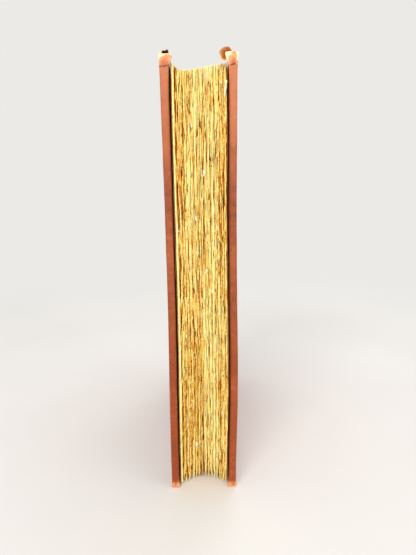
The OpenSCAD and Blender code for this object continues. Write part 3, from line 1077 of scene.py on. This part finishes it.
def new_tree(name, inputs):
    tree = bpy.data.node_groups.new(name, "GeometryNodeTree")
    tree.interface.new_socket("Mesh", in_out="OUTPUT", socket_type="NodeSocketGeometry")
    for label, (kind, value) in inputs.items():
        socket = tree.interface.new_socket(label, in_out="INPUT", socket_type=kind)
        if value is not None:
            socket.default_value = value
    w = Wires(tree)
    given = {socket.name: w.num(socket) for socket in w.add("NodeGroupInput").outputs}
    return tree, w, given


def end_tree(w, geometry, material=None):
    """Brings the mesh down to metres, sets its material and gives it out."""
    small = w.geo("Transform", {"Geometry": geometry, "Scale": (MM, MM, MM)})
    if material:
        small = w.geo("SetMaterial", {"Geometry": small, "Material": material})
    w.add("NodeGroupOutput", small)


def grow(name, tree, values):
    """Runs a tree on an empty object and returns the plain mesh that it makes."""
    seedling = add_object(name + "_tree", bpy.data.meshes.new(name + "_tree"))
    modifier = seedling.modifiers.new("tree", "NODES")
    modifier.node_group = tree
    for item in tree.interface.items_tree:
        if item.in_out == "INPUT" and item.name in values:
            modifier[item.identifier] = values[item.name]
    bpy.context.view_layer.update()
    ready = seedling.evaluated_get(bpy.context.evaluated_depsgraph_get())
    mesh = bpy.data.meshes.new_from_object(ready)
    mesh.name = name
    seedling.modifiers.remove(modifier)
    bpy.data.objects.remove(seedling)
    return add_object(name, mesh)


# %% [markdown]
# ### The rule for one leaf
# A leaf's edge is a sum. Leaves in the middle of a gathering creep out a little, waves of three
# lengths move it in and out, and short stretches stand back as slits or stand out. Five longer
# slits run over 4 to 12 cm, where one leaf was cut short. Behind the edge the leaf runs back to
# the rounded spine. At the tail the loose leaves sag and gather in tufts, and at the head they dip
# on the left. The edges curl sideways by hundredths of a millimetre only, since more would turn
# their lit faces away.

# %% The numbers of that rule
PER_GATHERING = 7
GATHERINGS = 16
LEAVES = PER_GATHERING * GATHERINGS
BLOCK_HALF = 14.0
FORE_MEAN = 4.05
FORE_HOLLOW = 6
LEAF_SAG = 2.6
HEAD_DIP = 1.8
HEAD_RISE = 0.45
LOWEST = 0.35
# Columns of points over a leaf's depth: four behind its edge, three at the backing, one at its end
EDGE_GAPS = (0.0, 0.45, 1.8, 6.0)
BACK_COLUMNS = (66.0, 67.2, 68.4)
BACKED_FROM, BACKED_TO = 65.8, 68.6
COLUMNS, ROWS = 8, 176
# Waves along the edge: (change per leaf, wavelength in mm, shift, detail, height in mm)
WAVES = [(0.14, 40, 0.0, 1, 0.45), (0.38, 8, 5.2, 1, 0.5), (0.95, 3.4, 9.1, 2, 0.36)]
# Where such a wave is high: (change per leaf, wavelength, shift, from, to, height in mm)
PATCHES = [
    (0.5, 6.5, 13.3, 0.68, 1.05, -2.6),  # short slits
    (0.42, 26, 41.9, 0.7, 1.1, -3.0),  # longer slits
    (0.5, 12, 31.7, 0.6, 1.2, 1.0),  # stretches that stand out
]
# Long slits: (leaf, from mm, to mm), how deep they are and over what height they close
LONG_SLITS = [(87, 84, 204), (101, 118, 176), (60, 146, 190), (94, 20, 62), (39, 30, 75)]
SLIT_DEEP, SLIT_END = 4.5, 3.0
MOST_PROUD = 2.4
END_GAP = 0.12
print(LEAVES, "leaves in", GATHERINGS, "gatherings,", COLUMNS * ROWS * 2, "grid points to a leaf")

# %% Describe one leaf and place them all


def leaf_tree():
    tree, w, given = new_tree("leaves_of_a_section", {
        "Leaves": (INT, 28),
        "First leaf": (INT, 0),
        "Leaves in the block": (INT, LEAVES),
        "Leaves to a gathering": (INT, PER_GATHERING),
        "Half thickness": (FLOAT, BLOCK_HALF),
        "Half thickness at the back": (FLOAT, SHOULDER_W - 0.3),
        "Mean fore-edge": (FLOAT, FORE_Y + FORE_MEAN),
        "Hollow": (FLOAT, FORE_HOLLOW),
        "Head": (FLOAT, HEAD_Z),
        "Head dip": (FLOAT, HEAD_DIP),
        "Head rise": (FLOAT, HEAD_RISE),
        "Tail": (FLOAT, TAIL_Z),
        "Sag": (FLOAT, LEAF_SAG),
        "Seed": (FLOAT, 4.0),
        "Paper": (STUFF, None),
    })
    seed, head, to_gathering = given["Seed"], given["Head"], given["Leaves to a gathering"]
    half, half_back = given["Half thickness"], given["Half thickness at the back"]

    # One thin box grid is placed for each leaf and remembers the leaf's number.
    line = w.geo("MeshLine", {"Count": given["Leaves"], "Offset": (0, 0, 0)})
    number = w.geo("InputIndex", {}) + given["First leaf"]
    marked = w.geo("StoreNamedAttribute", {"Geometry": line, "Name": "leaf", "Value": number})
    counts = {"Vertices X": 2, "Vertices Y": COLUMNS, "Vertices Z": ROWS}
    sheet = w.geo("MeshCube", {"Size": (1, 1, 1), **counts})
    many = w.geo("InstanceOnPoints", {"Points": marked, "Instance": sheet})
    real = w.geo("RealizeInstances", {"Geometry": many})

    # What each point needs to know: its leaf, side, column and height, and the leaf's gathering.
    leaf = w.geo("InputNamedAttribute", {"Name": "leaf"})
    across, deep, up = w.split(w.geo("InputPosition", {}))
    skin, back_share, height_share = across * 2.0, deep + 0.5, up + 0.5
    column = w.math("ROUND", back_share * (COLUMNS - 1.0))
    z_about = height_share * BOOK_H
    u = (leaf * 2.0 + 1.0) / given["Leaves in the block"] - 1.0
    uneven = w.noise(w.join(leaf * 0.1, seed, 17.0), 1.0, 0.0) * 6.0 - 3.0
    order = w.math("MAXIMUM", leaf + uneven, 0.0)
    gather = w.math("FLOOR", order / to_gathering)
    in_gathering = w.math("FRACT", (order + 0.5) / to_gathering)
    from_middle = abs(in_gathering * 2.0 - 1.0)
    own = w.chance(leaf + seed)

    def field(leaf_rate, wavelength, shift, detail=1.0):
        """Noise from about -1 to 1, alike for near leaves and near heights."""
        place = w.join(leaf * leaf_rate, z_about / wavelength, seed + shift)
        return w.noise(place, 1.0, detail) * 5.0 - 2.5

    def of_leaf(rate, shift):
        return w.noise(w.join(leaf * rate, shift, seed))

    def from_to(value, low, high):
        """1 from the first pair of numbers to the second, fading inside each pair."""
        return w.span(value, *low) * w.span(value, *high, 1.0, 0.0)

    # How far the edge stands out.
    proud = (0.5 - from_middle) * 0.8
    for leaf_rate, wavelength, shift, detail, height in WAVES:
        proud = proud + field(leaf_rate, wavelength, shift, detail) * height
    for leaf_rate, wavelength, shift, low, high, height in PATCHES:
        proud = proud + w.span(field(leaf_rate, wavelength, shift), low, high) * height
    for slit_leaf, low, high in LONG_SLITS:
        on_leaf = w.math("LESS_THAN", abs(leaf - float(slit_leaf)), 0.5)
        ends = (low - SLIT_END, low + SLIT_END), (high - SLIT_END, high + SLIT_END)
        proud = proud - on_leaf * from_to(z_about, *ends) * SLIT_DEEP
    proud = w.math("MINIMUM", proud, MOST_PROUD)
    # The outermost leaves are whole; the next ones on the left wander as one sheet.
    outer = 1.0 - w.span(leaf, 2.5, 4.5)
    outer = outer + w.span(leaf, LEAVES - 3.5, LEAVES - 1.5) * 0.3
    second = from_to(leaf, (4.0, 5.0), (7.0, 8.0))
    proud = proud + second * (w.span(field(0.0, 12, 61.0), -0.6, 0.4) * -1.8 + 0.3)
    proud = w.math("MAXIMUM", proud, outer * 4.4 - 4.0)
    y_fore = given["Mean fore-edge"] + given["Hollow"] * (1.0 - u * u) - proud

    # Where the leaf ends: on the arc of the back, or on the shoulder's arc outside of that.
    x_end = u * half_back
    arc = BACK_CY + w.math("SQRT", BACK_R**2 - x_end * x_end)
    tip_x = abs(x_end) - (SHOULDER_W - SHOULDER_R)
    tip_cy = BACK_CY + math.sqrt((BACK_R - SHOULDER_R) ** 2 - (SHOULDER_W - SHOULDER_R) ** 2)
    tip = tip_cy + w.math("SQRT", w.math("MAXIMUM", SHOULDER_R**2 - tip_x * tip_x, 0.0))
    at_tip = w.math("GREATER_THAN", tip_x, 0.0)
    y_end = arc * (1.0 - at_tip) + tip * at_tip - END_GAP

    # Depth: the column says which station the point goes to.
    stations = [column, *(y_fore + gap for gap in EDGE_GAPS), *BACK_COLUMNS, y_end]
    pick = w.add("GeometryNodeIndexSwitch", data_type="FLOAT")
    while len(pick.index_switch_items) < COLUMNS:
        pick.index_switch_items.new()
    for socket, value in zip(pick.inputs, stations):
        w.feed(socket, value)
    y = w.math("MINIMUM", w.num(pick.outputs[0]), y_end)
    behind = y - y_fore
    along = w.math("DIVIDE", behind, SPINE_BASE - y_fore, clamp=True)
    free = 1.0 - along
    near_fore = w.math("EXPONENT", behind * -0.14)

    # Height: dips and rises at the head, sag and tufts at the tail.
    dip = given["Head dip"] * from_to(u, (-0.98, -0.76), (-0.65, 0.2))
    rise = given["Head rise"] * from_to(u, (0.0, 0.3), (0.8, 1.0))
    top_fore = head - (dip - rise) + (own * 0.5 - 0.3)
    top = top_fore + along * (head - top_fore)
    tuft = w.chance(gather + seed * 7.0)
    notch = from_middle**1.6 * (tuft * 4.2 + 0.6) + of_leaf(1.7, 12.0) * 1.3
    low = given["Tail"] - given["Sag"] * free + near_fore * (notch - 1.1)
    low = w.math("MAXIMUM", low, LOWEST)
    z = low + height_share * (top - low)

    # Across: gaps between gatherings, sway, splayed tufts and a slight curl of the edge.
    x_flat = u * half
    width = half * 2.0 / given["Leaves in the block"]
    gape = w.noise(w.join(gather * 3.7, z_about / 26.0, 55.0))
    gape = w.span(gape, 0.38, 0.66) * 0.17
    squeeze = gape * (in_gathering - 0.5) * (width * to_gathering)
    sway = w.noise(w.join(x_flat / 8.0, y / 55.0, z_about / 40.0)) * 1.7 - 0.85
    sway = sway + (w.noise(w.join(x_flat / 2.2, y / 20.0, z_about / 13.0)) * 0.8 - 0.4)
    lean = w.chance(gather + 31.5) * 2.0 - 1.0 + (of_leaf(0.9, 33.0) * 2.4 - 1.2)
    pinch = (0.5 - in_gathering) * (width * 4.2)
    splay = (lean + pinch) * (near_fore * w.math("EXPONENT", (z - low) * -0.3))
    curl = field(0.33, 15, 71.0) * (w.math("EXPONENT", behind * -0.7) * 0.06)
    x = x_flat - squeeze * free + sway * (free * (1.0 - abs(u) ** 6.0)) + curl
    x = x + splay * (1.0 - abs(u) ** 4.0)
    x = x + w.span(y, BACKED_FROM, BACKED_TO) * (x_end - x)
    thick = w.span(behind, 0.0, EDGE_GAPS[1], how="LINEAR") * 0.06 + 0.42
    x = x + skin * thick * width

    # The finish reads how far each point stands out, and each leaf's own tone.
    shown = proud * w.math("EXPONENT", behind * -0.25)
    tone = own + (outer * 1.5 - 0.5)
    for label, value in (("proud", shown), ("leaf_tone", tone)):
        real = w.geo("StoreNamedAttribute", {"Geometry": real, "Name": label, "Value": value})
    moved = w.geo("SetPosition", {"Geometry": real, "Position": w.join(x, y, z)})
    end_tree(w, moved, given["Paper"])
    return tree


# %% Grow the four sections of the block
SECTIONS = 4
leaf_rule = leaf_tree()
sections = []


def bend_with_boards(piece):
    mesh = piece.data
    flat = np.empty(len(mesh.vertices) * 3)
    mesh.vertices.foreach_get("co", flat)
    points = flat.reshape(-1, 3) / MM
    points[:, 0] += bow(*points.T)
    mesh.vertices.foreach_set("co", (points * MM).ravel())
    mesh.update()


for part in range(SECTIONS):
    section = grow(f"leaf_section_{part + 1}", leaf_rule, {
        "Leaves": LEAVES // SECTIONS,
        "First leaf": part * LEAVES // SECTIONS,
        "Paper": leaf_edges,
    })
    bend_with_boards(section)
    sections.append(section)
    print(section.name, len(section.data.polygons) * 2, "triangles")

# %% [markdown]
# ## Flyleaves and torn leaves
# The first and last leaves are the flyleaves. They are plain sheets that show whole when a cover
# is open, and the front one is the pale line beside the front board. A few leaves are torn, and
# their white insides stand out of the edge.

# %% Make the flyleaves
FLYLEAF_END = 69.2
FLYLEAF_THICK = 0.24
FLYLEAF_GAP = 0.27


def flyleaf(name, way, fore, top_extra):
    depths = graded(0.0, 1.0, 0.006, 0.03, 0.06)
    heights = graded(0.0, 1.0, 0.006, 0.012, 0.05, both=True)
    points, faces = box_grid([-0.5, 0.5], depths, heights)
    skin, v, t = points.T
    seed = 70 + way
    edge = fore + 0.35 * lumps(column_points(t * HEAD_Z, 0, 0), 7, seed)
    y = edge + (FLYLEAF_END - edge) * v
    loose = 1 - np.clip((y - edge) / (SPINE_BASE - edge), 0, 1)
    low = TAIL_Z - LEAF_SAG * loose + 0.2 + 0.3 * lumps(points * (0, 30, 0), 6, seed + 1)
    low = np.maximum(low, 0.4)
    z = low + (HEAD_Z + top_extra * loose - low) * t
    sheet = column_points(y, z, 0)
    wave = 0.6 * 0.22 * lumps(sheet, 46, seed + 2) + 0.08 * lumps(sheet, 15, seed + 3)
    flat_x = BLOCK_HALF + FLYLEAF_GAP + wave * loose
    backed = step(y, BACKED_FROM, BACKED_TO)
    x = flat_x + (SHOULDER_W - 0.08 - flat_x) * backed + FLYLEAF_THICK * skin
    x, faces = on_side(way, x, faces)
    x = x + bow(x, y, z)
    return mesh_object(name, [x, y, z], faces, flyleaf_paper, smooth=False)


flyleaves = [
    flyleaf("front_flyleaf", SIDES["front"], FORE_Y + 3.4, 0.7),
    flyleaf("back_flyleaf", SIDES["back"], FORE_Y + 4.0, 0.1),
]
print("flyleaves:", [len(f.data.polygons) for f in flyleaves], "faces")

# %% Make the torn leaf ends
# Each in mm: (across, height, length, width, lean, curl)
TORN = [
    (13.4, 224.0, 8.5, 1.0, 0.25, 1.2),
    (11.2, 227.0, 3.4, 0.8, -0.35, 0.5),
    (1.9, 182.8, 3.6, 1.1, 0.1, 0.9),
    (-2.8, 158.3, 2.6, 0.8, -0.4, 0.5),
    (-13.1, 153.5, 4.4, 1.0, 0.1, 0.9),
    (6.0, 117.8, 3.2, 1.1, 0.6, 1.2),
    (2.6, 129.0, 2.2, 0.6, 0.9, 0.6),
    (10.9, 45.2, 3.6, 0.8, 0.1, 0.6),
    (-4.6, 23.3, 3.2, 1.2, 0.15, 1.1),
    (-9.6, 92.0, 2.4, 0.5, 0.3, 0.4),
    (-4.4, 207.5, 3.4, 0.6, 0.1, 0.6),
]
TORN_THICK = 0.16


def torn_ends():
    all_points, all_faces, start = [], [], 0
    for k, (x0, z0, length, width, lean, curl) in enumerate(TORN):
        grid = np.linspace(-0.5, 0.5, 5), [0, 1], np.linspace(-0.5, 0.5, 13)
        points, faces = box_grid(*grid)
        a, skin, b = points.T
        ragged = 1 - 0.45 * np.abs(b * 2) ** 2 + 0.25 * lumps(column_points(b * 8, 0, k), 3, 90 + k)
        x = x0 + a * width * ragged + lean * b * 2 * length / 6 + 0.2 * np.sin(b * 5 + k)
        y = FORE_Y + FORE_MEAN + FORE_HOLLOW * (1 - (x0 / BLOCK_HALF) ** 2) - 1.0
        y = y - curl * (0.25 - b * b) * 1.2 + 0.5 * a * np.sin(k) + TORN_THICK * skin
        z = z0 + b * length
        all_points.append(np.stack([x + bow(x, y, z), y, z], 1))
        all_faces.append(faces + start)
        start += len(points)
    points, faces = np.concatenate(all_points), np.concatenate(all_faces)
    return mesh_object("torn_leaf_ends", points.T, faces, torn_paper)


torn = torn_ends()
print("torn ends:", len(TORN))

# %% [markdown]
# ## The headbands
# A headband is a core of rolled card that lies on the ends of the leaves, with silk wound over it
# in two colours. The windings repeat along an arc, so a second tree sets small rings on that arc,
# and changes the silk after every third ring.

# %% Wind the headbands


def headband_tree():
    tree, w, given = new_tree("silk_windings", {
        "Arc radius": (FLOAT, 28.0),
        "Half angle": (FLOAT, 0.48),
        "Centre Y": (FLOAT, BACK_CY),
        "Height": (FLOAT, HEAD_Z + 1.2),
        "Band radius": (FLOAT, 1.2),
        "Windings": (INT, 78),
        "Pale silk": (STUFF, None),
        "Dark silk": (STUFF, None),
    })

    def ring(points, share):
        """A circle whose radius is a share of the band's."""
        plugs = {"Resolution": points, "Radius": given["Band radius"] * share}
        return w.geo("CurvePrimitiveCircle", plugs, mode="RADIUS")

    def sweep(path, profile, caps=False):
        return w.geo("CurveToMesh", {"Curve": path, "Profile Curve": profile, "Fill Caps": caps})

    # The core, swept along the arc of the back.
    arc = w.geo("CurveArc", {
        "Resolution": 60,
        "Radius": given["Arc radius"],
        "Start Angle": math.pi / 2 - given["Half angle"],
        "Sweep Angle": given["Half angle"] * 2.0,
    }, mode="RADIUS")
    centre = w.join(0.0, given["Centre Y"], given["Height"])
    placed = w.geo("Transform", {"Geometry": arc, "Translation": centre})
    core = sweep(placed, ring(12, 0.82), caps=True)
    core = w.geo("SetMaterial", {"Geometry": core, "Material": given["Pale silk"]})
    # The windings: rings of thread at even steps, three of pale silk after three of dark.
    plugs = {"Curve": placed, "Count": given["Windings"]}
    spots = w.put("GeometryNodeCurveToPoints", plugs, mode="COUNT").outputs
    number = w.geo("InputIndex", {})
    plugs = {"Geometry": spots["Points"], "Name": "winding", "Value": number}
    marked = w.geo("StoreNamedAttribute", plugs)
    thread = sweep(ring(14, 0.84), ring(6, 0.155))
    plugs = {"Points": marked, "Instance": thread, "Rotation": spots["Rotation"]}
    rings = w.geo("RealizeInstances", {"Geometry": w.geo("InstanceOnPoints", plugs)})
    number = w.geo("InputNamedAttribute", {"Name": "winding"})
    is_dark = w.math("LESS_THAN", w.math("MODULO", number, 6.0), 2.5)
    rings = w.geo("SetMaterial", {"Geometry": rings, "Material": given["Pale silk"]})
    plugs = {"Geometry": rings, "Selection": is_dark, "Material": given["Dark silk"]}
    rings = w.geo("SetMaterial", plugs)
    joined = w.add("GeometryNodeJoinGeometry")
    for part in (core, rings):
        w.feed(joined.inputs[0], part)
    end_tree(w, w.geo("SetShadeSmooth", {"Geometry": joined.outputs[0]}))
    return tree


winding_rule = headband_tree()
BAND_R = (headband_high[2] - headband_low[2]) / 2
ARC_R = BACK_R - BAND_R - LINING
headbands = {}
for name, centre in (("headband", HEAD_Z + BAND_R), ("tailband", TAIL_Z - BAND_R)):
    headbands[name] = grow(name + "_windings", winding_rule, {
        "Arc radius": ARC_R,
        "Half angle": math.pi / 2 - math.acos((headband_high[0] - BAND_R) / ARC_R),
        "Height": centre,
        "Band radius": BAND_R,
        "Pale silk": silk_pale,
        "Dark silk": silk_dark,
    })
    corners = np.array([v.co for v in headbands[name].data.vertices]) / MM
    print(name, "spans", np.round(corners.min(0), 1), np.round(corners.max(0), 1))

# %% [markdown]
# ## Pieces that stay as the CAD model made them
# The boards, cord slips, sewing supports and spine lining are hidden and plain, so their CAD shapes
# are kept and only get a finish.

# %% Finish the CAD nodes that stay
STAYS = {
    "front_board": pasteboard,
    "back_board": pasteboard,
    "front_cord_slips": hemp,
    "back_cord_slips": hemp,
    "spine_lining": pastedown_paper,
}
STAYS.update({f"sewing_support_{k}": hemp for k in range(1, 6)})
for node, material in STAYS.items():
    mesh = frame["nodes"][node].data
    mesh.materials.clear()
    mesh.materials.append(material)
print("CAD nodes kept:", len(STAYS))

# %% [markdown]
# ## Join the pieces to the bodies
# Each piece rides on the body that carries it, and the CAD nodes that the new pieces replace are
# hidden. The joint leather rides on no body and lies between the spine and a cover.

# %% Ride and replace
for name, way in SIDES.items():
    body = name + "_cover"
    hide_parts(name + "_leather")
    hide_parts(name + "_pastedown")
    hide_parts(name + "_infill")
    board_paper, shoulder_paper = hinge_papers[name]
    for piece in (covers[name], pastedowns[name], infills[name], board_paper):
        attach(piece, body)
    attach(shoulder_paper, "root")
    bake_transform(joints[name])

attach(tongue, "front_cover")
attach(strip, "back_cover")
for piece in sections + flyleaves + [torn]:
    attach(piece, "root")
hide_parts("text_block")
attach(spine, "root")
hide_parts("spine_leather")
for name, piece in headbands.items():
    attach(piece, "root")
    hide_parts(name)

# %% [markdown]
# ## A pale table and soft light
# The book stands on a plain pale floor that is wide enough to run off to the sky's own white. Four
# large lamps and the sky give light that is soft and level, so that a colour looks about as it was
# mixed. The lamp in front is the strongest, since the photograph's light comes from the viewer's
# side.

# %% Floor, sky and lamps
SKY = srgb(236, 234, 231)
FLOOR_R = 12


def stage_floor():
    """A plain disc that fades into the sky's colour from 22 to 75 cm from the book."""
    material, w, shader = new_material("pale_floor")
    place = object_place(w)
    distance = w.add("ShaderNodeVectorMath", place, operation="LENGTH").outputs["Value"]
    tint = w.noise(place, 6, 3)
    dress(w, shader, w.ramp(tint, (0.3, srgb(228, 227, 225)), (0.7, srgb(233, 232, 230))), 0.9, 0.1)
    glow = w.add("ShaderNodeEmission", SKY, 1.0)
    away = w.span(distance, 0.22, 0.75)
    blend = w.add("ShaderNodeMixShader", away, shader.outputs[0], glow.outputs[0])
    w.feed(w.tree.nodes["Material Output"].inputs["Surface"], blend.outputs[0])
    around = np.linspace(0, 2 * math.pi, 65)[:-1]
    ring = [(FLOOR_R * math.cos(a), FLOOR_R * math.sin(a), -0.00002) for a in around]
    mesh = bpy.data.meshes.new("table_floor")
    mesh.from_pydata(ring, [], [list(range(len(ring)))])
    mesh.materials.append(material)
    return add_object("table_floor", mesh)


floor = stage_floor()

# The sky lights the book a little less brightly than it shows behind it.
world = bpy.data.worlds.new("plain_sky")
world.use_nodes = True
bpy.context.scene.world = world
w = Wires(world.node_tree)
lit = w.add("ShaderNodeBackground", srgb(255, 252, 248), 0.50)
seen = w.add("ShaderNodeBackground", SKY, 1.0)
rays = w.add("ShaderNodeLightPath").outputs
either = w.math("MAXIMUM", rays["Is Camera Ray"], rays["Is Glossy Ray"])
sky = w.add("ShaderNodeMixShader", either, lit.outputs[0], seen.outputs[0])
w.feed(world.node_tree.nodes["World Output"].inputs["Surface"], sky.outputs[0])

LIT_POINT = (0, 0, 0.12)
# (name, place, size, power in watts, colour)
LAMPS = [
    ("window_in_front", (-0.35, -1.35, 1.0), (1.1, 0.9), 18.6, (1.0, 0.995, 0.965)),
    ("overhead", (0.1, 0.1, 1.5), (1.2, 1.0), 5, (1.0, 0.99, 0.97)),
    ("fill_right", (1.3, -0.7, 0.5), (0.9, 0.9), 4, (1.0, 0.99, 0.97)),
    ("fill_behind", (0.5, 1.5, 0.9), (1.2, 0.8), 8, (0.99, 0.99, 1.0)),
]
for name, place, (wide, tall), power, colour in LAMPS:
    light = bpy.data.lights.new(name, "AREA")
    light.shape, light.size, light.size_y = "RECTANGLE", wide, tall
    light.energy, light.color = power, colour
    lamp = add_object(name, light)
    lamp.location = place
    lamp.rotation_euler = (Vector(LIT_POINT) - Vector(place)).to_track_quat("-Z", "Y").to_euler()
bpy.context.scene.view_settings.view_transform = "Standard"
print("floor, sky and", len(LAMPS), "lamps are set")
